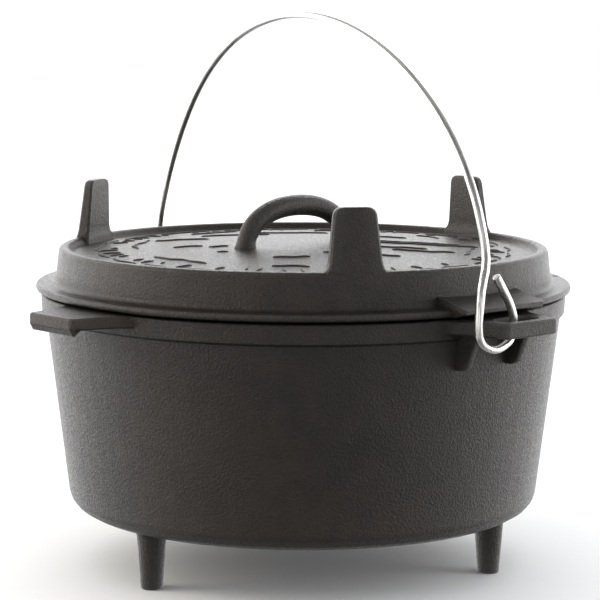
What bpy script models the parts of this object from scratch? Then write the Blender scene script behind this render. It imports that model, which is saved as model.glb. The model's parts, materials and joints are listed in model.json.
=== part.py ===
"""Cast iron camp dutch oven: pot on three legs, flanged lid with feet and handle, wire bail."""
import math

import bmesh
import bpy
from mathutils import Matrix, Vector

# Overall sizes, in metres. The floor is Z = 0 and the two ears lie along X.
LEG_HEIGHT = 0.0365
RIM_Z = 0.1708
BODY_R_BOTTOM = 0.1447
BODY_R_TOP = 0.1595
BAND_R = 0.1625
BAND_HEIGHT = 0.0123
WALL = 0.0055
BOTTOM_CORNER_R = 0.0127

# Lid.
SEAT_GAP = 0.0003
FLANGE_R = 0.1660
FLANGE_THICK = 0.0054
LID_RIM_R = 0.1512
LID_WALL_FOOT_R = 0.1536
LID_RIM_HEIGHT = 0.022
LID_RIM_WIDTH = 0.0058
LID_RECESS = 0.0042
LID_DOME = 0.0059
LID_WALL = 0.0052
SPIGOT_DEPTH = 0.0045
SPIGOT_CLEARANCE = 0.0028
TAB_REACH = 0.1725
TAB_HALF_CHORD = 0.0312
TAB_HALF_ROOT = 0.0330
TAB_EDGE_TOP = 0.0064
TAB_EDGE_THICK = 0.0032
TAB_SLOPE = 0.23
NOTCH_ANGLE = math.radians(57.0)
NOTCH_HALF_WIDTH = 0.0022
NOTCH_DEPTH = 0.0022

# Lid feet, the plates that carry the lid when it lies upside down.
FOOT_ANGLES = (-30.4, 89.7, -154.0)
FOOT_HEIGHT = 0.036
FOOT_BASE_WIDTH = 0.0314
FOOT_TOP_WIDTH = 0.0244
FOOT_BASE_THICK = 0.0088
FOOT_TOP_THICK = 0.0060
FOOT_CORNER_R = 0.0045
FOOT_LEAN = 0.0042

# Lid handle, an arch along Y.
HANDLE_HALF_SPAN = 0.0410
HANDLE_TOP_Z = RIM_Z + 0.0592
HANDLE_ROD_R = 0.0065
HANDLE_BASE_R = 0.0054
HANDLE_OFFSET = -0.0060

# Pot legs.
LEG_ANGLES = (30.0, 150.0, -90.0)
LEG_PITCH_R = 0.1205
LEG_TIP_R = 0.0068
LEG_ROOT_R = 0.0092

# Ears on X carry the wire, and the lugs on Y are plain grips.
EAR_REACH = 0.194
EAR_HALF_CHORD = 0.0208
EAR_HALF_ROOT = 0.0360
EAR_THICK = 0.0088
EAR_TOP_Z = RIM_Z
EYE_X = 0.1803
EYE_HALF_LENGTH = 0.0143
EYE_HALF_WIDTH = 0.0071
RIB_Y = 0.0205
RIB_WIDTH = 0.0062
RIB_DROP = 0.0225
RIB_REACH = 0.0138
LUG_LIP_DROP = 0.0032
LUG_THICK = 0.0070
LUG_LIP_THICK = 0.0052

# Bail wire. Each end hooks round the bar of metal beside the eye of its ear.
WIRE_R = 0.0025
BAIL_HALF_SPAN = 0.1830
BAIL_RISE = 0.1740
BAIL_TWIST = math.radians(-7.9)
BAIL_SHIFT = -0.0046
BAIL_BOW = 0.0080
HINGE_X = 0.1812
HINGE_Z = EAR_TOP_Z - EAR_THICK / 2
HOOK_LEG_Y = -0.0334
HOOK_EYE_Y = -0.0026
HOOK_DROP = 0.0113
HOOK_LEG_X = 0.1832
HOOK_END_RISE = 0.0300
HOOK_FAR_END_RISE = 0.0240
HOOK_END_LEAN = 0.0150

ROUND_STEPS = 76


def clear_scene():
    for item in list(bpy.data.objects):
        bpy.data.objects.remove(item, do_unlink=True)


def make_material(name, colour, metallic, roughness):
    material = bpy.data.materials.new(name)
    material.use_nodes = True
    shader = material.node_tree.nodes["Principled BSDF"]
    shader.inputs["Base Color"].default_value = (*colour, 1.0)
    shader.inputs["Metallic"].default_value = metallic
    shader.inputs["Roughness"].default_value = roughness
    return material


def add_object(name, bm, origin=(0.0, 0.0, 0.0)):
    """Closes the bmesh into an object whose origin is the given point."""
    bmesh.ops.remove_doubles(bm, verts=bm.verts, dist=1e-6)
    bmesh.ops.recalc_face_normals(bm, faces=bm.faces)
    bmesh.ops.translate(bm, verts=bm.verts, vec=-Vector(origin))
    mesh = bpy.data.meshes.new(name)
    bm.to_mesh(mesh)
    bm.free()
    item = bpy.data.objects.new(name, mesh)
    item.location = origin
    bpy.context.scene.collection.objects.link(item)
    return item


def rounded(corners, step_deg=18.0):
    """Polyline through (r, z, fillet radius) corners, each inner corner rounded by an arc."""
    points = [Vector(corners[0][:2])]
    for i in range(1, len(corners) - 1):
        here = Vector(corners[i][:2])
        fillet = corners[i][2]
        back = (Vector(corners[i - 1][:2]) - here).normalized()
        ahead = (Vector(corners[i + 1][:2]) - here).normalized()
        inside = math.acos(max(-1.0, min(1.0, back.dot(ahead))))
        turn = math.pi - inside
        if fillet <= 0.0 or turn < math.radians(4.0):
            points.append(here)
            continue
        reach = fillet * math.tan(turn / 2)
        middle = (back + ahead).normalized()
        centre = here + middle * (fillet / math.sin(inside / 2))
        steps = max(2, math.ceil(math.degrees(turn) / step_deg))
        first = here + back * reach - centre
        last = here + ahead * reach - centre
        for k in range(steps + 1):
            share = k / steps
            angle = turn * share
            blend = (first * math.sin(turn - angle) + last * math.sin(angle)) / math.sin(turn)
            points.append(centre + blend)
    points.append(Vector(corners[-1][:2]))
    return points


def lathe(profile, steps=ROUND_STEPS):
    """Turns an (r, z) polyline, which starts and ends on the axis, into a closed body."""
    bm = bmesh.new()
    rings = []
    for r, z in profile:
        if r < 1e-7:
            rings.append([bm.verts.new((0.0, 0.0, z))])
            continue
        ring = []
        for k in range(steps):
            angle = 2 * math.pi * k / steps
            ring.append(bm.verts.new((r * math.cos(angle), r * math.sin(angle), z)))
        rings.append(ring)
    for low, high in zip(rings, rings[1:]):
        for k in range(steps):
            n = (k + 1) % steps
            corners = [low[k % len(low)], low[n % len(low)]]
            corners += [high[n % len(high)], high[k % len(high)]]
            unique = list(dict.fromkeys(corners))
            bm.faces.new(unique)
    return bm


def loft(sections):
    """Joins rings of equal length into a closed body, with a flat cap at each end."""
    bm = bmesh.new()
    rings = [[bm.verts.new(point) for point in section] for section in sections]
    for low, high in zip(rings, rings[1:]):
        for k in range(len(low)):
            n = (k + 1) % len(low)
            bm.faces.new((low[k], low[n], high[n], high[k]))
    bm.faces.new(list(reversed(rings[0])))
    bm.faces.new(rings[-1])
    return bm


def sweep(path, radii, sides, start_normal=(0.0, 0.0, 1.0)):
    """Carries a circle along a path of points, turning it as little as it can."""
    sections = []
    normal = Vector(start_normal)
    for i, point in enumerate(path):
        before = path[max(i - 1, 0)]
        after = path[min(i + 1, len(path) - 1)]
        along = (after - before).normalized()
        normal = (normal - along * normal.dot(along)).normalized()
        other = along.cross(normal)
        ring = []
        for k in range(sides):
            angle = 2 * math.pi * k / sides
            ring.append(point + (normal * math.cos(angle) + other * math.sin(angle)) * radii[i])
        sections.append(ring)
    return loft(sections)


def plate(outline, z_low, z_high, bevel):
    """Flat plate with both of its faces' edges eased by a small bevel."""
    centre = sum(outline, Vector((0.0, 0.0))) / len(outline)
    inset = []
    for i, point in enumerate(outline):
        side = (outline[(i + 1) % len(outline)] - outline[i - 1]).normalized()
        inward = Vector((-side.y, side.x))
        if inward.dot(centre - point) < 0:
            inward = -inward
        inset.append(point + inward * bevel)
    levels = (
        (inset, z_low),
        (outline, z_low + bevel),
        (outline, z_high - bevel),
        (inset, z_high),
    )
    return loft([[Vector((p.x, p.y, z)) for p in ring] for ring, z in levels])


def bezier(p0, p1, p2, p3, steps):
    points = []
    for k in range(steps + 1):
        t = k / steps
        s = 1 - t
        point = p0 * s**3 + p1 * 3 * s * s * t + p2 * 3 * s * t * t + p3 * t**3
        points.append(point)
    return points


def turned(bm, degrees):
    bmesh.ops.rotate(
        bm,
        verts=bm.verts,
        cent=(0.0, 0.0, 0.0),
        matrix=Matrix.Rotation(math.radians(degrees), 3, "Z"),
    )
    return bm


def combine(base, others, operation):
    """Applies Booleans of the other objects to the base, then removes them."""
    for other in others:
        modifier = base.modifiers.new("join", "BOOLEAN")
        modifier.operation = operation
        modifier.solver = "EXACT"
        modifier.object = other
    graph = bpy.context.evaluated_depsgraph_get()
    merged = bpy.data.meshes.new_from_object(base.evaluated_get(graph))
    base.modifiers.clear()
    base.data = merged
    for other in others:
        bpy.data.objects.remove(other, do_unlink=True)


def finish_round(item, material, sharp_degrees):
    item.data.materials.clear()
    item.data.materials.append(material)
    item.data.shade_smooth()
    item.data.set_sharp_from_angle(angle=math.radians(sharp_degrees))


def wall_radius(z):
    """Outer radius of the tapered pot wall at a height."""
    band_foot = RIM_Z - BAND_HEIGHT
    share = (z - LEG_HEIGHT) / (band_foot - LEG_HEIGHT)
    return BODY_R_BOTTOM + (BODY_R_TOP - BODY_R_BOTTOM) * share


def pot_shell():
    band_foot = RIM_Z - BAND_HEIGHT
    inner_mouth = wall_radius(RIM_Z) - WALL
    inner_base = wall_radius(LEG_HEIGHT + WALL) - WALL
    corners = [
        (0.0, LEG_HEIGHT, 0.0),
        (BODY_R_BOTTOM, LEG_HEIGHT, BOTTOM_CORNER_R),
        (BODY_R_TOP, band_foot - 0.0006, 0.0008),
        (BAND_R - 0.0006, band_foot + 0.0009, 0.0009),
        (BAND_R, RIM_Z, 0.0014),
        (inner_mouth, RIM_Z, 0.0014),
        (inner_base, LEG_HEIGHT + WALL, 0.0110),
        (0.0, LEG_HEIGHT + WALL, 0.0),
    ]
    return lathe(rounded(corners, 22.0))


def leg_body():
    root_z = LEG_HEIGHT + 0.0030
    profile = (
        (0.0, 0.0),
        (LEG_TIP_R - 0.0012, 0.0),
        (LEG_TIP_R - 0.0003, 0.0004),
        (LEG_TIP_R, 0.0014),
        (LEG_ROOT_R - 0.0002, LEG_HEIGHT - 0.0050),
        (LEG_ROOT_R + 0.0004, LEG_HEIGHT - 0.0022),
        (LEG_ROOT_R + 0.0014, LEG_HEIGHT - 0.0008),
        (LEG_ROOT_R + 0.0024, LEG_HEIGHT + 0.0003),
        (LEG_ROOT_R + 0.0024, root_z),
        (0.0, root_z),
    )
    bm = lathe(profile, 24)
    bmesh.ops.translate(bm, verts=bm.verts, vec=(LEG_PITCH_R, 0.0, 0.0))
    return bm


def ear_outline():
    """Half outline from the outer edge to the wall, mirrored to make the whole ear."""
    root_x = math.sqrt(BODY_R_TOP**2 - EAR_HALF_ROOT**2) + 0.0012
    corner = Vector((EAR_REACH, EAR_HALF_CHORD))
    half = [Vector((EAR_REACH + 0.0004, 0.0))]
    half.append(Vector((EAR_REACH + 0.0002, EAR_HALF_CHORD * 0.5)))
    half += bezier(
        corner - Vector((0.0002, 0.0042)),
        corner + Vector((0.0, -0.0010)),
        corner + Vector((-0.0010, 0.0)),
        corner + Vector((-0.0044, 0.0006)),
        4,
    )
    half += bezier(
        corner + Vector((-0.0044, 0.0006)),
        corner + Vector((-0.0120, 0.0016)),
        Vector((root_x + 0.0028, EAR_HALF_ROOT - 0.0080)),
        Vector((root_x, EAR_HALF_ROOT + 0.0010)),
        8,
    )[1:]
    half.append(Vector((root_x - 0.0035, EAR_HALF_ROOT + 0.0012)))
    other = [Vector((point.x, -point.y)) for point in reversed(half[1:])]
    return half + other


def eye_cutter():
    outline = []
    for k in range(28):
        angle = 2 * math.pi * k / 28
        c = math.cos(angle)
        s = math.sin(angle)
        x = EYE_HALF_WIDTH * math.copysign(abs(c) ** 0.6, c)
        y = EYE_HALF_LENGTH * math.copysign(abs(s) ** 0.6, s)
        outline.append(Vector((EYE_X + x, y)))
    ease = 0.0009
    low = EAR_TOP_Z - EAR_THICK
    levels = (
        (ease * 1.6, low - 0.002),
        (ease, low),
        (0.0, low + ease),
        (0.0, EAR_TOP_Z - ease),
        (ease, EAR_TOP_Z),
        (ease * 1.6, EAR_TOP_Z + 0.002),
    )
    sections = []
    centre = Vector((EYE_X, 0.0))
    for grow, z in levels:
        ring = []
        for point in outline:
            away = (point - centre).normalized()
            moved = point + away * grow
            ring.append(Vector((moved.x, moved.y, z)))
        sections.append(ring)
    return loft(sections)


def rib_body(side):
    """Gusset under the ear: a thin plate that tapers away down the wall."""
    top = EAR_TOP_Z - EAR_THICK + 0.0012
    foot = top - RIB_DROP
    sections = []
    for share in (0.0, 0.35, 0.7, 0.92, 1.0):
        z = top + (foot - top) * share
        wall_x = math.sqrt(wall_radius(z) ** 2 - RIB_Y**2)
        reach = RIB_REACH * (1.0 - 0.48 * share)
        if share == 1.0:
            reach = RIB_REACH * 0.34
        half = RIB_WIDTH / 2 * (1.0 - 0.12 * share)
        y = side * RIB_Y
        ring = [
            (wall_x - 0.0025, y - half - 0.0008, z),
            (wall_x + reach * 0.5, y - half, z),
            (wall_x + reach - 0.0008, y - half + 0.0004, z),
            (wall_x + reach, y - half + 0.0014, z),
            (wall_x + reach, y + half - 0.0014, z),
            (wall_x + reach - 0.0008, y + half - 0.0004, z),
            (wall_x + reach * 0.5, y + half, z),
            (wall_x - 0.0025, y + half + 0.0008, z),
        ]
        sections.append([Vector(point) for point in ring])
    return loft(sections)


def lug_body():
    """Plain grip: the outline of an ear in a thinner plate."""
    return plate(ear_outline(), EAR_TOP_Z - LUG_THICK, EAR_TOP_Z, 0.0011)


def lug_lip():
    """Lip turned down along the outer edge of a lug, as a bar that narrows downwards."""
    under = EAR_TOP_Z - LUG_THICK
    low = under - LUG_LIP_DROP
    section = (
        (EAR_REACH - 0.0008, under + 0.0026),
        (EAR_REACH - 0.0002, under + 0.0012),
        (EAR_REACH - 0.0024, low + 0.0004),
        (EAR_REACH - 0.0031, low),
        (EAR_REACH - 0.0040, low),
        (EAR_REACH - LUG_LIP_THICK, low + 0.0011),
        (EAR_REACH - LUG_LIP_THICK - 0.0022, under - 0.0006),
        (EAR_REACH - LUG_LIP_THICK - 0.0048, under + 0.0006),
        (EAR_REACH - LUG_LIP_THICK - 0.0048, under + 0.0026),
    )
    half = EAR_HALF_CHORD
    middle_x = EAR_REACH - LUG_LIP_THICK * 0.6
    middle_z = under + 0.0026
    sections = []
    for y, grow in ((-half, 0.55), (-half + 0.0016, 1.0), (half - 0.0016, 1.0), (half, 0.55)):
        ring = []
        for x, z in section:
            scaled_x = middle_x + (x - middle_x) * grow
            scaled_z = middle_z + (z - middle_z) * grow
            ring.append(Vector((scaled_x, y, scaled_z)))
        sections.append(ring)
    return loft(sections)


def build_pot(material):
    pot = add_object("pot", pot_shell())
    adds = []
    for i, angle in enumerate(LEG_ANGLES):
        adds.append(add_object(f"leg_{i}", turned(leg_body(), angle)))
    for angle in (0.0, 180.0):
        ear = plate(ear_outline(), EAR_TOP_Z - EAR_THICK, EAR_TOP_Z, 0.0011)
        adds.append(add_object(f"ear_{angle:.0f}", turned(ear, angle)))
        for side in (1, -1):
            adds.append(add_object(f"rib_{angle:.0f}_{side}", turned(rib_body(side), angle)))
    for angle in (90.0, -90.0):
        adds.append(add_object(f"lug_{angle:.0f}", turned(lug_body(), angle)))
        adds.append(add_object(f"lip_{angle:.0f}", turned(lug_lip(), angle)))
    combine(pot, adds, "UNION")
    eyes = [add_object(f"eye_{a:.0f}", turned(eye_cutter(), a)) for a in (0.0, 180.0)]
    combine(pot, eyes, "DIFFERENCE")
    finish_round(pot, material, 40.0)
    return pot


def lid_shell():
    seat = RIM_Z + SEAT_GAP
    flange_top = seat + FLANGE_THICK
    rim_z = flange_top + LID_RIM_HEIGHT
    floor_edge = rim_z - LID_RECESS
    rim_inner = LID_RIM_R - LID_RIM_WIDTH
    spigot_r = wall_radius(RIM_Z) - WALL - SPIGOT_CLEARANCE
    inner_r = LID_WALL_FOOT_R - LID_WALL
    under_edge = floor_edge - LID_WALL
    corners = [
        (0.0, floor_edge + LID_DOME, 0.0),
        (0.048, floor_edge + LID_DOME * 0.88, 0.120),
        (0.098, floor_edge + LID_DOME * 0.46, 0.200),
        (rim_inner - 0.0022, floor_edge, 0.0035),
        (rim_inner, rim_z, 0.0026),
        (LID_RIM_R, rim_z, 0.0028),
        (LID_WALL_FOOT_R, flange_top, 0.0036),
        (FLANGE_R, flange_top, 0.0018),
        (FLANGE_R - 0.0008, seat + 0.0016, 0.0014),
        (BAND_R - 0.0040, seat, 0.0030),
        (spigot_r, seat, 0.0006),
        (spigot_r - 0.0006, seat - SPIGOT_DEPTH, 0.0012),
        (inner_r - 0.0010, seat - SPIGOT_DEPTH, 0.0012),
        (inner_r - 0.0036, under_edge, 0.0060),
        (0.098, under_edge + LID_DOME * 0.46, 0.0),
        (0.048, under_edge + LID_DOME * 0.88, 0.0),
        (0.0, under_edge + LID_DOME, 0.0),
    ]
    return lathe(rounded(corners, 36.0))


def tab_body():
    """Sloping tongue of the flange that covers the root of an ear."""
    seat = RIM_Z + SEAT_GAP
    edge_top = seat + TAB_EDGE_TOP
    root_r = LID_WALL_FOOT_R - 0.0022
    ease = 0.0007
    stations = (
        (TAB_HALF_ROOT, math.sqrt((LID_WALL_FOOT_R + 0.0022) ** 2 - TAB_HALF_ROOT**2)),
        (TAB_HALF_CHORD + 0.0012, TAB_REACH - 0.0012),
        (TAB_HALF_CHORD, TAB_REACH),
    )
    sides = [(-y, x) for y, x in stations] + [(0.0, TAB_REACH)]
    sides += list(reversed(stations))
    sections = []
    for y, x_out in sides:
        x_in = math.sqrt(root_r**2 - y * y)
        top_in = edge_top + TAB_SLOPE * (TAB_REACH - x_in)
        top_out = edge_top + TAB_SLOPE * (TAB_REACH - x_out)
        low_out = top_out - TAB_EDGE_THICK
        ring = (
            (x_in, seat + 0.0012),
            (x_in, top_in),
            (x_out - ease, top_out),
            (x_out, top_out - ease),
            (x_out, low_out + ease),
            (x_out - ease, low_out),
            (FLANGE_R - 0.0030 if x_out > FLANGE_R else (x_in + x_out) / 2, seat + 0.0012),
        )
        sections.append([Vector((x, y, z)) for x, z in ring])
    return loft(sections)


def foot_body():
    """Tapered plate standing on the lid rim, flush with the outside of the lid wall."""
    seat = RIM_Z + SEAT_GAP
    rim_z = seat + FLANGE_THICK + LID_RIM_HEIGHT
    lean = FOOT_LEAN / FOOT_HEIGHT
    levels = [(-0.0080, 0.0030, 0.0014), (-0.0030, 0.0030, 0.0014), (0.0, 0.0022, 0.0012)]
    levels += [(0.0014, 0.0010, 0.0006), (0.0034, 0.0003, 0.0002), (0.0060, 0.0, 0.0)]
    levels += [(FOOT_HEIGHT - FOOT_CORNER_R, 0.0, 0.0)]
    for k in (1, 2, 3, 4):
        angle = math.radians(90.0 * k / 4)
        z = FOOT_HEIGHT - FOOT_CORNER_R * (1 - math.sin(angle))
        levels.append((z, -FOOT_CORNER_R * (1 - math.cos(angle)) * 0.98, 0.0))
    sections = []
    for height, wider, thicker in levels:
        share = max(height, 0.0) / FOOT_HEIGHT
        half = (FOOT_BASE_WIDTH + (FOOT_TOP_WIDTH - FOOT_BASE_WIDTH) * share) / 2 + wider
        thick = FOOT_BASE_THICK + (FOOT_TOP_THICK - FOOT_BASE_THICK) * share + thicker
        r_out = LID_RIM_R - 0.0003 - lean * max(height, 0.0)
        if height < -0.0050:
            r_out -= 0.0014
        if height > FOOT_HEIGHT - 0.0012:
            thick -= 0.0010
            r_out -= 0.0005
        ring = []
        soft = 0.0012
        for y in (-half + soft, -half * 0.5, 0.0, half * 0.5, half - soft):
            ring.append(Vector((math.sqrt(r_out**2 - y * y), y, rim_z + height)))
        x_side = math.sqrt(r_out**2 - half * half)
        ring.append(Vector((x_side - soft, half, rim_z + height)))
        ring.append(Vector((r_out - thick + soft, half, rim_z + height)))
        ring.append(Vector((r_out - thick, half - soft, rim_z + height)))
        ring.append(Vector((r_out - thick, -half + soft, rim_z + height)))
        ring.append(Vector((r_out - thick + soft, -half, rim_z + height)))
        ring.append(Vector((x_side - soft, -half, rim_z + height)))
        sections.append(ring)
    return loft(sections)


def handle_body():
    """Round bar bent to an arch, thicker where it lands on the lid."""
    base_z = RIM_Z + SEAT_GAP + FLANGE_THICK + LID_RIM_HEIGHT - LID_RECESS + LID_DOME * 0.85
    top_z = HANDLE_TOP_Z - HANDLE_ROD_R
    knots = [
        Vector((0.0, -HANDLE_HALF_SPAN - 0.0005, base_z - 0.0022)),
        Vector((0.0, -HANDLE_HALF_SPAN + 0.0014, base_z + 0.0068)),
        Vector((0.0, -HANDLE_HALF_SPAN * 0.80, top_z - 0.0088)),
        Vector((0.0, -HANDLE_HALF_SPAN * 0.46, top_z - 0.0022)),
        Vector((0.0, 0.0, top_z)),
    ]
    knots += [Vector((0.0, -p.y, p.z)) for p in reversed(knots[:-1])]
    knots = [p + Vector((0.0, HANDLE_OFFSET, 0.0)) for p in knots]
    path = smooth_path(knots, 5)
    radii = []
    for point in path:
        height = point.z - base_z
        flare = 0.0016 * max(0.0, 1.0 - max(height, 0.0) / 0.0070) ** 2
        share = max(0.0, min(1.0, height / (top_z - base_z)))
        radii.append(HANDLE_BASE_R + (HANDLE_ROD_R - HANDLE_BASE_R) * share + flare)
    return sweep(path, radii, 16, (1.0, 0.0, 0.0))


def notch_cutter():
    """Groove across the flange top that lets a thermometer lead pass."""
    flange_top = RIM_Z + SEAT_GAP + FLANGE_THICK
    bm = bmesh.new()
    bmesh.ops.create_cone(
        bm,
        cap_ends=True,
        segments=16,
        radius1=NOTCH_HALF_WIDTH,
        radius2=NOTCH_HALF_WIDTH,
        depth=0.012,
        matrix=Matrix.Rotation(math.radians(90.0), 4, "Y"),
    )
    centre = (FLANGE_R - 0.0005, 0.0, flange_top + NOTCH_HALF_WIDTH - NOTCH_DEPTH)
    bmesh.ops.translate(bm, verts=bm.verts, vec=centre)
    return turned(bm, math.degrees(NOTCH_ANGLE))


def build_lid(material):
    seat = RIM_Z + SEAT_GAP
    lid = add_object("lid", lid_shell(), (0.0, 0.0, seat))
    adds = [add_object("handle", handle_body())]
    for angle in (0.0, 180.0):
        adds.append(add_object(f"tab_{angle:.0f}", turned(tab_body(), angle)))
    for angle in FOOT_ANGLES:
        adds.append(add_object(f"foot_{angle:.0f}", turned(foot_body(), angle)))
    combine(lid, adds, "UNION")
    combine(lid, [add_object("notch", notch_cutter())], "DIFFERENCE")
    finish_round(lid, material, 40.0)
    return lid


def smooth_path(knots, steps):
    """Catmull-Rom curve through the knots."""
    path = []
    ends = [2 * knots[0] - knots[1]] + knots + [2 * knots[-1] - knots[-2]]
    for i in range(1, len(ends) - 2):
        p0, p1, p2, p3 = ends[i - 1 : i + 3]
        for k in range(steps):
            t = k / steps
            point = (
                2 * p1
                + (p2 - p0) * t
                + (2 * p0 - 5 * p1 + 4 * p2 - p3) * t * t
                + (3 * p1 - p0 - 3 * p2 + p3) * t**3
            ) / 2
            path.append(point)
    path.append(knots[-1])
    return path


def arch_point(angle):
    """Point of the arch, where the angle runs from 0 at the +X foot to pi at the other."""
    along = BAIL_HALF_SPAN * math.cos(angle) + BAIL_SHIFT * math.sin(angle) ** 2
    rise = BAIL_RISE * math.sin(angle)
    bow = BAIL_BOW * math.cos(angle) ** 2 * math.sin(2 * min(angle, math.pi - angle))
    x = along * math.cos(BAIL_TWIST)
    y = along * math.sin(BAIL_TWIST) + bow
    return Vector((x, y, HINGE_Z + rise))


def hook_knots(end_rise):
    """Knots of the +X hook, from beside the ear, under the bar and up through the eye."""
    leg_y = HOOK_LEG_Y
    eye_y = HOOK_EYE_Y
    middle = (leg_y + eye_y) / 2
    half = (eye_y - leg_y) / 2
    bottom = HINGE_Z - HOOK_DROP
    x_eye = HINGE_X - 0.0004
    knots = [
        Vector((HOOK_LEG_X - 0.0010, leg_y + 0.0030, HINGE_Z + 0.0235)),
        Vector((HOOK_LEG_X, leg_y + 0.0006, HINGE_Z + 0.0130)),
        Vector((HOOK_LEG_X, leg_y, HINGE_Z + 0.0040)),
        Vector((HOOK_LEG_X - 0.0002, leg_y + 0.0016, HINGE_Z - 0.0050)),
        Vector((HOOK_LEG_X - 0.0006, middle - half * 0.55, bottom + 0.0022)),
        Vector((HINGE_X + 0.0004, middle, bottom)),
        Vector((HINGE_X, middle + half * 0.55, bottom + 0.0022)),
        Vector((x_eye, eye_y - 0.0016, HINGE_Z - 0.0050)),
        Vector((x_eye, eye_y, HINGE_Z + 0.0035)),
        Vector((x_eye, eye_y - HOOK_END_LEAN * 0.20, HINGE_Z + end_rise * 0.42)),
        Vector((x_eye, eye_y - HOOK_END_LEAN * 0.58, HINGE_Z + end_rise * 0.71)),
        Vector((x_eye, eye_y - HOOK_END_LEAN, HINGE_Z + end_rise)),
    ]
    return knots


def bail_path():
    near = list(reversed(hook_knots(HOOK_END_RISE)))
    far = [Vector((-p.x, -p.y, p.z)) for p in hook_knots(HOOK_FAR_END_RISE)]
    arch = [arch_point(math.radians(angle)) for angle in range(13, 168, 7)]
    return smooth_path(near + arch + far, 3)


def build_bail(material):
    path = bail_path()
    radii = [WIRE_R] * len(path)
    ease = 0.0005
    radii[0] = WIRE_R - ease
    radii[-1] = WIRE_R - ease
    path[1] = path[0] + (path[1] - path[0]).normalized() * ease
    path[-2] = path[-1] + (path[-2] - path[-1]).normalized() * ease
    bail = add_object("bail", sweep(path, radii, 12), (0.0, 0.0, HINGE_Z))
    finish_round(bail, material, 40.0)
    return bail


def main():
    clear_scene()
    pot_iron = make_material("pot_cast_iron", (0.045, 0.043, 0.042), 0.35, 0.62)
    lid_iron = make_material("lid_cast_iron", (0.050, 0.048, 0.047), 0.35, 0.58)
    wire_steel = make_material("bail_steel_wire", (0.72, 0.71, 0.69), 1.0, 0.22)
    build_pot(pot_iron)
    build_lid(lid_iron)
    build_bail(wire_steel)


main()
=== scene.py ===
import json
import math

import bpy
from mathutils import Matrix, Vector
from mathutils.bvhtree import BVHTree


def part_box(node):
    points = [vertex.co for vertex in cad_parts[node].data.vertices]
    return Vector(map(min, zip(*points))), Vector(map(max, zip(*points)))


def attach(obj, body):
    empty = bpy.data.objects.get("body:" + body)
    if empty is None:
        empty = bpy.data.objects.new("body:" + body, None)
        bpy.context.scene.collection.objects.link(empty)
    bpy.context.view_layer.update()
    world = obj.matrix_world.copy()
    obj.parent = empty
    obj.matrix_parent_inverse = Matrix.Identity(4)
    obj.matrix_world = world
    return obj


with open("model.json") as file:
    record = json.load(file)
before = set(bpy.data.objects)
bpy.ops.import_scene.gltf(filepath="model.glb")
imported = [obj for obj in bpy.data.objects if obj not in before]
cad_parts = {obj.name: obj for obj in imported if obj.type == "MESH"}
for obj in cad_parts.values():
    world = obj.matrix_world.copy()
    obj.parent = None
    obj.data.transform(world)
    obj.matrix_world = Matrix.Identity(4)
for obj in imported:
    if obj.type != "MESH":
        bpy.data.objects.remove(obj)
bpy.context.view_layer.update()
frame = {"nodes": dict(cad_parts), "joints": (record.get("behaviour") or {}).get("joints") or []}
nodes = frame["nodes"]
bail_hinge = next(joint for joint in frame["joints"] if joint["name"] == "bail_swing")
lid_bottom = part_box("lid")[0].z

# Camera: round the pot by CAMERA_TURN from the -Y side, looking slightly down.
CAMERA_TURN = math.radians(48.1)
CAMERA_PITCH = 0.1286
CAMERA_ROLL = 0.004
CAMERA_RANGE = 1.425
CAMERA_HEIGHT = 0.348
CAMERA_LENS = 138.24
CAMERA_SENSOR = 36.0
CAMERA_SHIFT = -0.0054

# Casting detail, as the scale of each noise: the larger, the finer.
CLOUD_SCALE = 9.0
MOTTLE_SCALE = 75.0
SKIN_SCALE = 170.0
PEBBLE_SCALE = 690.0
SAND_SCALE = 780.0

# Wire streaks, their colour a painted reflection and their bump the drawing marks: fine across the wire
# and long along its arch.
LINE_AND_REFLECTION_SCALE_ACROSS = 1250.0
LINE_AND_REFLECTION_SCALE_ALONG = 18.0

# Raised strokes on the lid's top, cast with it.
STROKE_HALF_WIDTH = 0.00070
STROKE_HEIGHT = 0.00090
STROKE_SINK = 0.0006
STROKE_STEP = 0.0022
STROKE_WAY = Vector((0.668, 0.744, 0.0))
STROKE_LEAST_POINTS = 3

# Where strokes may lie: on the lid's plate, inside its rim and clear of the handle.
PLATE_LOWEST = lid_bottom + 0.0234
PLATE_HIGHEST = lid_bottom + 0.0369
PLATE_RADIUS = 0.1345
HANDLE_CENTRE_Y = -0.006
HANDLE_CLEAR_X = 0.014
HANDLE_CLEAR_Y = 0.058

# Grain strokes: the offset across the grain, and the start and end along it, in metres.
GRAIN_ROWS = (
    (0.012, 0.040, 0.098), (0.004, 0.044, 0.109), (-0.020, 0.030, 0.076),
    (-0.032, 0.054, 0.092), (0.046, 0.022, 0.066), (-0.052, 0.012, 0.036),
    (-0.058, 0.040, 0.058), (0.072, -0.030, 0.016), (-0.015, -0.080, -0.062),
    (-0.020, -0.058, -0.046), (0.030, -0.094, -0.060), (0.055, -0.066, -0.022),
    (-0.046, -0.052, -0.034), (-0.070, -0.018, 0.004),
)

# The bail's hinge centre, and the direction square to its arch.
HINGE_CENTRE = tuple(bail_hinge["pos_m"])
BAIL_NORMAL = (0.1374, 0.9905, 0.0)

# Shading: edges bent more than this stay sharp, and points this close are one.
CREASE_ANGLE = math.radians(38)
WELD_DISTANCE = 0.00002

FLOOR_RADIUS = 40.0


def ranged(tree, value, low, high, out_low=0.0, out_high=1.0, smooth=False):
    """A node's output that takes value from low..high to out_low..out_high."""
    node = tree.nodes.new("ShaderNodeMapRange")
    if smooth:
        node.interpolation_type = "SMOOTHSTEP"
    node.inputs["From Min"].default_value = low
    node.inputs["From Max"].default_value = high
    node.inputs["To Min"].default_value = out_low
    node.inputs["To Max"].default_value = out_high
    tree.links.new(value, node.inputs["Value"])
    return node.outputs["Result"]


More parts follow.
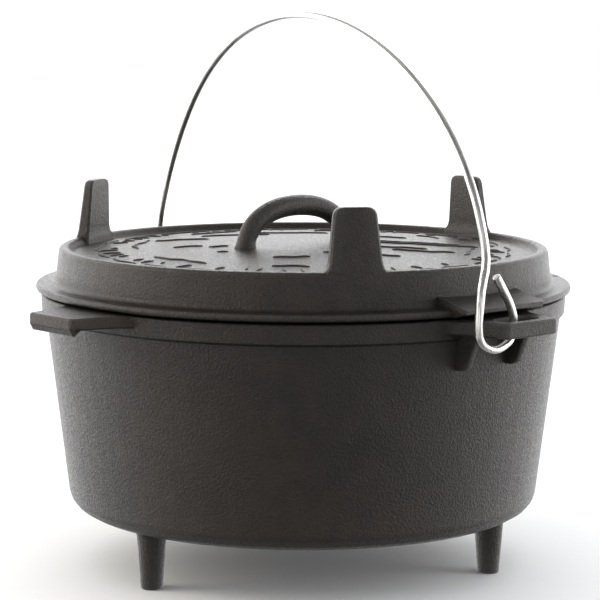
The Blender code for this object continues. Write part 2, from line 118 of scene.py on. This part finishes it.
def worked_out(tree, kind, operation, result, *values):
    """The named output of a maths node. Each value is another node's output, a number or a vector."""
    node = tree.nodes.new(kind)
    node.operation = operation
    for socket, value in zip(node.inputs, values):
        if isinstance(value, bpy.types.NodeSocket):
            tree.links.new(value, socket)
        else:
            socket.default_value = value
    return node.outputs[result]


class Shader:
    """A material's node tree, built one node at a time."""

    def __init__(self, name):
        self.material = bpy.data.materials.new(name)
        self.material.use_nodes = True
        self.tree = self.material.node_tree
        self.surface = self.tree.nodes["Principled BSDF"]
        self.coordinates = self.tree.nodes.new("ShaderNodeTexCoord").outputs["Object"]

    def link(self, source, target):
        self.tree.links.new(source, target)

    def setting(self, name, value):
        self.surface.inputs[name].default_value = value

    def noise(self, scale, detail=3.0, roughness=0.55, vector=None):
        node = self.tree.nodes.new("ShaderNodeTexNoise")
        node.inputs["Scale"].default_value = scale
        node.inputs["Detail"].default_value = detail
        node.inputs["Roughness"].default_value = roughness
        self.link(vector or self.coordinates, node.inputs["Vector"])
        return node.outputs["Fac"]

    def cells(self, scale):
        node = self.tree.nodes.new("ShaderNodeTexVoronoi")
        node.inputs["Scale"].default_value = scale
        self.link(self.coordinates, node.inputs["Vector"])
        return node.outputs["Distance"]

    def levels(self, value, low, high, out_low=0.0, out_high=1.0):
        return ranged(self.tree, value, low, high, out_low, out_high)

    def mix(self, factor, first, second):
        node = self.tree.nodes.new("ShaderNodeMix")
        node.data_type = "RGBA"
        self.link(factor, node.inputs["Factor"])
        for socket, colour in ((node.inputs["A"], first), (node.inputs["B"], second)):
            if isinstance(colour, tuple):
                socket.default_value = (*colour, 1.0)
            else:
                self.link(colour, socket)
        return node.outputs["Result"]

    def edges(self, low, high):
        geometry = self.tree.nodes.new("ShaderNodeNewGeometry")
        return self.levels(geometry.outputs["Pointiness"], low, high)

    def bump(self, height, distance, strength, below=None):
        node = self.tree.nodes.new("ShaderNodeBump")
        node.inputs["Distance"].default_value = distance
        node.inputs["Strength"].default_value = strength
        self.link(height, node.inputs["Height"])
        if below:
            self.link(below, node.inputs["Normal"])
        return node.outputs["Normal"]


def cast_iron(name, dark, light, rust, roughness, grain):
    """Seasoned sand-cast iron: pebbled skin, oil-dark with brown clouds, rubbed edges."""
    shader = Shader(name)
    clouds = shader.noise(CLOUD_SCALE, 4.0)
    mottle = shader.noise(MOTTLE_SCALE, 4.0)
    sand = shader.noise(SAND_SCALE, 4.0, 0.7)
    colour = shader.mix(shader.levels(mottle, 0.34, 0.66), dark, light)
    colour = shader.mix(shader.levels(clouds, 0.50, 0.72, 0.0, 0.6), colour, rust)
    speckle = shader.levels(sand, 0.56, 0.74, 0.0, 0.45)
    colour = shader.mix(speckle, colour, tuple(3.5 * c for c in light))
    worn = shader.edges(0.515, 0.60)
    colour = shader.mix(shader.levels(worn, 0.0, 1.0, 0.0, 0.5), colour, (0.085, 0.08, 0.075))
    shader.link(colour, shader.surface.inputs["Base Color"])
    polish = shader.levels(sand, 0.36, 0.64, roughness - 0.14, roughness + 0.17)
    shader.link(polish, shader.surface.inputs["Roughness"])
    shader.setting("Specular IOR Level", 0.43)
    shader.setting("Specular Tint", (1.0, 0.935, 0.885, 1.0))
    shader.setting("Coat Weight", 0.12)
    shader.setting("Coat Roughness", 0.38)
    skin = shader.bump(shader.noise(SKIN_SCALE, 2.0), 0.0009, 0.18)
    pebbles = shader.bump(shader.cells(PEBBLE_SCALE), 0.0006, 0.5 * grain, skin)
    normal = shader.bump(sand, 0.0009, grain, pebbles)
    shader.link(normal, shader.surface.inputs["Normal"])
    return shader.material


def along_the_arch(shader):
    """Coordinates for the wire: distance from the hinge centre, distance to one side, and height."""
    tree = shader.tree
    away = worked_out(tree, "ShaderNodeVectorMath", "SUBTRACT", "Vector", shader.coordinates, HINGE_CENTRE)
    reach = worked_out(tree, "ShaderNodeVectorMath", "LENGTH", "Value", away)
    side = worked_out(tree, "ShaderNodeVectorMath", "DOT_PRODUCT", "Value", away, BAIL_NORMAL)
    parts = tree.nodes.new("ShaderNodeSeparateXYZ")
    shader.link(away, parts.inputs["Vector"])
    joined = tree.nodes.new("ShaderNodeCombineXYZ")
    for source, socket, scale in ((reach, "X", LINE_AND_REFLECTION_SCALE_ACROSS),
                                  (side, "Y", LINE_AND_REFLECTION_SCALE_ACROSS),
                                  (parts.outputs["Z"], "Z", LINE_AND_REFLECTION_SCALE_ALONG)):
        scaled = worked_out(tree, "ShaderNodeMath", "MULTIPLY", "Value", source, scale)
        shader.link(scaled, joined.inputs[socket])
    return joined.outputs["Vector"]


def drawn_steel(name):
    """Bright wire: fine dark streaks along the pull, painted reflections in its colour and drawing marks
    in its bump; slight haze and a few dull spots.
    """
    shader = Shader(name)
    drawing_lines_and_painted_reflections = shader.noise(1.0, 2.0, 0.6, along_the_arch(shader))
    haze = shader.noise(45.0, 3.0)
    # The dark streaks in the wire's colour are painted reflections of a dark surround.
    painted_reflection_streaks = shader.levels(drawing_lines_and_painted_reflections, 0.34, 0.50)
    colour = shader.mix(painted_reflection_streaks, (0.42, 0.41, 0.39), (0.90, 0.89, 0.865))
    colour = shader.mix(shader.levels(haze, 0.55, 0.75, 0.0, 0.35), colour, (0.55, 0.53, 0.48))
    shader.link(colour, shader.surface.inputs["Base Color"])
    shader.link(shader.levels(haze, 0.3, 0.7, 0.22, 0.32), shader.surface.inputs["Roughness"])
    shader.setting("Metallic", 1.0)
    shader.link(shader.bump(drawing_lines_and_painted_reflections, 0.0003, 0.22), shader.surface.inputs["Normal"])
    return shader.material


def pale_floor(name):
    shader = Shader(name)
    tone = shader.levels(shader.noise(3.0, 2.0), 0.3, 0.7)
    shader.link(shader.mix(tone, (0.90, 0.90, 0.90), (0.93, 0.93, 0.93)),
                shader.surface.inputs["Base Color"])
    shader.setting("Roughness", 0.75)
    shader.setting("Specular IOR Level", 0.2)
    return shader.material


def wear(name, material):
    piece = nodes[name]
    piece.data.materials.clear()
    piece.data.materials.append(material)
    for face in piece.data.polygons:
        face.material_index = 0


def crease_group():
    """Node group: joins the mesh's triangles and shades it smooth but for its sharp edges."""
    group = bpy.data.node_groups.new("smooth_with_creases", "GeometryNodeTree")
    group.interface.new_socket("Mesh", in_out="INPUT", socket_type="NodeSocketGeometry")
    group.interface.new_socket("Mesh", in_out="OUTPUT", socket_type="NodeSocketGeometry")
    new, link = group.nodes.new, group.links.new
    entry, leave = new("NodeGroupInput"), new("NodeGroupOutput")
    plain = new("GeometryNodeRemoveAttribute")
    plain.inputs["Name"].default_value = "custom_normal"
    weld = new("GeometryNodeMergeByDistance")
    weld.inputs["Distance"].default_value = WELD_DISTANCE
    soft = new("GeometryNodeSetShadeSmooth")
    soft.inputs["Shade Smooth"].default_value = True
    crease = new("GeometryNodeSetShadeSmooth")
    crease.domain = "EDGE"
    bend = new("GeometryNodeInputMeshEdgeAngle")
    shallow = new("FunctionNodeCompare")
    shallow.data_type = "FLOAT"
    shallow.operation = "LESS_THAN"
    shallow.inputs["B"].default_value = CREASE_ANGLE
    link(entry.outputs["Mesh"], plain.inputs["Geometry"])
    link(plain.outputs["Geometry"], weld.inputs["Geometry"])
    link(weld.outputs["Geometry"], soft.inputs["Geometry"])
    link(soft.outputs["Geometry"], crease.inputs["Geometry"])
    link(bend.outputs["Unsigned Angle"], shallow.inputs["A"])
    link(shallow.outputs["Result"], crease.inputs["Shade Smooth"])
    link(crease.outputs["Geometry"], leave.inputs["Mesh"])
    return group


def smooth(name, group):
    piece = nodes[name]
    piece.modifiers.new("creases", "NODES").node_group = group
    normals = piece.modifiers.new("normals", "WEIGHTED_NORMAL")
    normals.keep_sharp = True
    normals.weight = 50


def lid_surface():
    lid = nodes["lid"].data
    return BVHTree.FromPolygons([v.co for v in lid.vertices], [f.vertices for f in lid.polygons])


def spread(seed):
    """A repeatable number from 0 to 1."""
    value = math.sin(seed * 12.9898) * 43758.5453
    return value - math.floor(value)


def arc(radius, start, end, waver, seed):
    """Points in plan along a hand-cut arc whose radius wavers a little."""
    length = abs(end - start) * radius
    count = max(3, int(length / STROKE_STEP))
    points = []
    for i in range(count + 1):
        angle = start + (end - start) * i / count
        slow = waver * math.sin(angle * 17 + seed)
        fast = 0.5 * waver * math.sin(angle * 41 + 2 * seed)
        r = radius + slow + fast
        points.append(Vector((r * math.cos(angle), r * math.sin(angle), 0.0)))
    return points


def tick(radius, angle, length, lean):
    """Points in plan along a short straight stroke that starts at the radius and leans."""
    inner = Vector((radius * math.cos(angle), radius * math.sin(angle), 0.0))
    way = Vector((math.cos(angle + lean), math.sin(angle + lean), 0.0))
    count = max(2, int(length / STROKE_STEP))
    return [inner + way * (length * i / count) for i in range(count + 1)]


def broken_ring(radius, dash, gap, waver, seed):
    """A ring of arcs of uneven length with uneven gaps between them."""
    strokes = []
    angle = spread(seed)
    last = angle + 2 * math.pi - gap / radius
    index = 0
    while angle < last:
        index += 1
        run = dash * (0.45 + 1.1 * spread(seed + index)) / radius
        end = min(angle + run, last)
        strokes.append(arc(radius, angle, end, waver, seed + index))
        angle = end + gap * (0.6 + 0.9 * spread(seed + 50 + index)) / radius
    return strokes


def tick_ring(radius, count, length, seed):
    """A ring of outward ticks, with about a third of them left out."""
    strokes = []
    for i in range(count):
        angle = 2 * math.pi * (i + 0.6 * spread(seed + i)) / count
        if spread(seed + 100 + i) < 0.32:
            continue
        size = length * (0.5 + 0.9 * spread(seed + 200 + i))
        lean = 0.9 * (spread(seed + 300 + i) - 0.5)
        strokes.append(tick(radius, angle, size, lean))
    return strokes


def grain_strokes():
    """Wavering strokes that mostly run one way across the lid."""
    strokes = []
    for row, (offset, start, end) in enumerate(GRAIN_ROWS):
        count = max(4, int((end - start) / STROKE_STEP))
        points = []
        for i in range(count + 1):
            s = start + (end - start) * i / count
            d = offset + 0.0012 * math.sin(s * 190 + row) + 0.0006 * math.sin(s * 470 + 2 * row)
            x = s * STROKE_WAY.x - d * STROKE_WAY.y
            y = s * STROKE_WAY.y + d * STROKE_WAY.x
            points.append(Vector((x, y, 0)))
        strokes.append(points)
    return strokes


def top_pattern():
    """A broken ring, short ticks and grain strokes, like the sawn end of a log."""
    strokes = broken_ring(radius=0.1275, dash=0.026, gap=0.008, waver=0.0009, seed=3.0)
    strokes += tick_ring(radius=0.1150, count=66, length=0.0080, seed=11.0)
    strokes += broken_ring(radius=0.1045, dash=0.034, gap=0.060, waver=0.0014, seed=5.0)
    strokes += grain_strokes()
    return strokes


def laid_on(surface, stroke):
    """The stroke's points laid on the lid's plate, as runs broken where a foot or the handle stands."""
    down = Vector((0, 0, -1))
    runs = [[]]
    for point in stroke:
        place = surface.ray_cast(Vector((point.x, point.y, 0.3)), down)[0]
        on_plate = place and PLATE_LOWEST < place.z < PLATE_HIGHEST
        inside = math.hypot(point.x, point.y) < PLATE_RADIUS
        if on_plate and inside and not near_handle(point):
            runs[-1].append(Vector((point.x, point.y, place.z)))
        elif runs[-1]:
            runs.append([])
    return [run for run in runs if len(run) >= STROKE_LEAST_POINTS]


def near_handle(point):
    return abs(point.x) < HANDLE_CLEAR_X and abs(point.y - HANDLE_CENTRE_Y) < HANDLE_CLEAR_Y


def rib(run, vertices, faces):
    """Adds a closed raised rib along a run of points, thinning towards both ends."""
    first = len(vertices)
    last = len(run) - 1
    for i, point in enumerate(run):
        along = (run[min(i + 1, last)] - run[max(i - 1, 0)]).normalized()
        side = Vector((-along.y, along.x, 0.0))
        taper = 0.45 if i in (0, last) else 0.8 + 0.35 * spread(point.x * 900 + i)
        half = STROKE_HALF_WIDTH * taper
        high = STROKE_HEIGHT * min(1.0, taper + 0.15)
        for across, up in ((-1.0, -STROKE_SINK), (-1.0, 0.45 * high), (-0.6, high),
                           (0.6, high), (1.0, 0.45 * high), (1.0, -STROKE_SINK)):
            vertices.append(point + side * (half * across) + Vector((0.0, 0.0, up)))
    for i in range(last):
        low, high = first + 6 * i, first + 6 * (i + 1)
        for k in range(6):
            n = (k + 1) % 6
            faces.append((low + k, low + n, high + n, high + k))
    faces.append(tuple(first + k for k in reversed(range(6))))
    faces.append(tuple(first + 6 * last + k for k in range(6)))


def lid_strokes(material):
    surface = lid_surface()
    vertices, faces = [], []
    for stroke in top_pattern():
        for run in laid_on(surface, stroke):
            rib(run, vertices, faces)
    mesh = bpy.data.meshes.new("lid_top_strokes")
    mesh.from_pydata(vertices, [], faces)
    mesh.materials.append(material)
    piece = bpy.data.objects.new("lid_top_strokes", mesh)
    bpy.context.scene.collection.objects.link(piece)
    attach(piece, "lid")
    return piece


def facing_out(piece):
    """Turns every face of a piece outwards."""
    bpy.context.view_layer.objects.active = piece
    piece.select_set(True)
    bpy.ops.object.mode_set(mode="EDIT")
    bpy.ops.mesh.select_all(action="SELECT")
    bpy.ops.mesh.normals_make_consistent(inside=False)
    bpy.ops.object.mode_set(mode="OBJECT")
    piece.select_set(False)


def stage_floor():
    bpy.ops.mesh.primitive_circle_add(vertices=96, radius=FLOOR_RADIUS, fill_type="NGON")
    floor = bpy.context.object
    floor.name = "floor"
    floor.data.materials.append(pale_floor("pale_floor"))
    floor.visible_glossy = False
    floor.visible_diffuse = False


def softbox(name, place, aim, size, power, colour):
    light = bpy.data.lights.new(name, "AREA")
    light.shape = "RECTANGLE"
    light.size, light.size_y = size
    light.energy = power
    light.color = colour
    lamp = bpy.data.objects.new(name, light)
    bpy.context.scene.collection.objects.link(lamp)
    lamp.location = place
    lamp.rotation_euler = (Vector(place) - Vector(aim)).to_track_quat("Z", "Y").to_euler()
    return lamp


def around(turn_degrees, distance, height):
    turn = math.radians(turn_degrees)
    return (distance * math.sin(turn), -distance * math.cos(turn), height)


def studio_world():
    """Even white light, while reflections find a dim room in front and bright walls behind."""
    world = bpy.data.worlds.new("studio")
    world.use_nodes = True
    tree = world.node_tree
    new, link = tree.nodes.new, tree.links.new
    way = new("ShaderNodeTexCoord").outputs["Generated"]
    front = (math.sin(CAMERA_TURN), -math.cos(CAMERA_TURN), 0.0)
    facing = worked_out(tree, "ShaderNodeVectorMath", "DOT_PRODUCT", "Value", way, front)
    room = ranged(tree, facing, -0.35, 0.75, 2.6, 0.88, smooth=True)
    parts = new("ShaderNodeSeparateXYZ")
    link(way, parts.inputs["Vector"])
    height = worked_out(tree, "ShaderNodeMath", "ABSOLUTE", "Value", parts.outputs["Z"])
    ceiling = ranged(tree, height, 0.22, 0.60, 1.0, 0.16)
    reflected = worked_out(tree, "ShaderNodeMath", "MULTIPLY", "Value", room, ceiling)
    ground = ranged(tree, parts.outputs["Z"], -0.15, 0.0, 0.45, 1.12)
    rays = new("ShaderNodeLightPath")
    strength = new("ShaderNodeMix")
    link(rays.outputs["Is Glossy Ray"], strength.inputs["Factor"])
    link(ground, strength.inputs["A"])
    link(reflected, strength.inputs["B"])
    background = tree.nodes["Background"]
    background.inputs["Color"].default_value = (0.99, 0.995, 1.0, 1.0)
    link(strength.outputs["Result"], background.inputs["Strength"])
    bpy.context.scene.world = world


def stage_lights():
    studio_world()
    bpy.context.scene.view_settings.view_transform = "Standard"
    middle = (0.0, 0.0, 0.15)
    softbox("key_left", around(-40, 2.6, 1.5), middle, (1.4, 1.6), 34.0, (1.0, 0.91, 0.80))
    softbox("fill_right", around(128, 2.8, 1.3), middle, (1.4, 1.8), 18.0, (0.90, 0.95, 1.0))
    softbox("top_back", around(228, 2.6, 1.6), middle, (3.4, 1.4), 30.0, (1.0, 1.0, 1.0))


def stage_camera():
    data = bpy.data.cameras.new("camera")
    data.lens = CAMERA_LENS
    data.sensor_width = CAMERA_SENSOR
    data.shift_x = CAMERA_SHIFT
    camera = bpy.data.objects.new("camera", data)
    bpy.context.scene.collection.objects.link(camera)
    x = CAMERA_RANGE * math.sin(CAMERA_TURN)
    y = -CAMERA_RANGE * math.cos(CAMERA_TURN)
    turn = Matrix.Rotation(CAMERA_TURN, 4, "Z")
    tilt = Matrix.Rotation(math.pi / 2 - CAMERA_PITCH, 4, "X")
    roll = Matrix.Rotation(CAMERA_ROLL, 4, "Z")
    camera.matrix_world = Matrix.Translation((x, y, CAMERA_HEIGHT)) @ turn @ tilt @ roll
    bpy.context.scene.camera = camera


def main():
    stage_camera()
    stage_floor()
    stage_lights()
    pot_iron = cast_iron(
        "pot_seasoned_iron", dark=(0.0042, 0.0026, 0.0021), light=(0.0100, 0.0070, 0.0058),
        rust=(0.0210, 0.0125, 0.0080), roughness=0.43, grain=0.9)
    lid_iron = cast_iron(
        "lid_seasoned_iron", dark=(0.0056, 0.0038, 0.0031), light=(0.0125, 0.0092, 0.0078),
        rust=(0.0220, 0.0140, 0.0095), roughness=0.39, grain=0.85)
    wear("pot", pot_iron)
    wear("lid", lid_iron)
    wear("bail", drawn_steel("bright_drawn_steel"))
    # The strokes' iron is painted darker than the lid's iron: painted shade for the raised strokes.
    stroke_iron_painted_shade = cast_iron(
        "stroke_iron_painted_shade", dark=(0.0020, 0.0016, 0.0014), light=(0.0040, 0.0034, 0.0030),
        rust=(0.0060, 0.0045, 0.0035), roughness=0.62, grain=0.3)
    facing_out(lid_strokes(stroke_iron_painted_shade))
    creases = crease_group()
    for name in sorted(nodes):
        smooth(name, creases)


main()
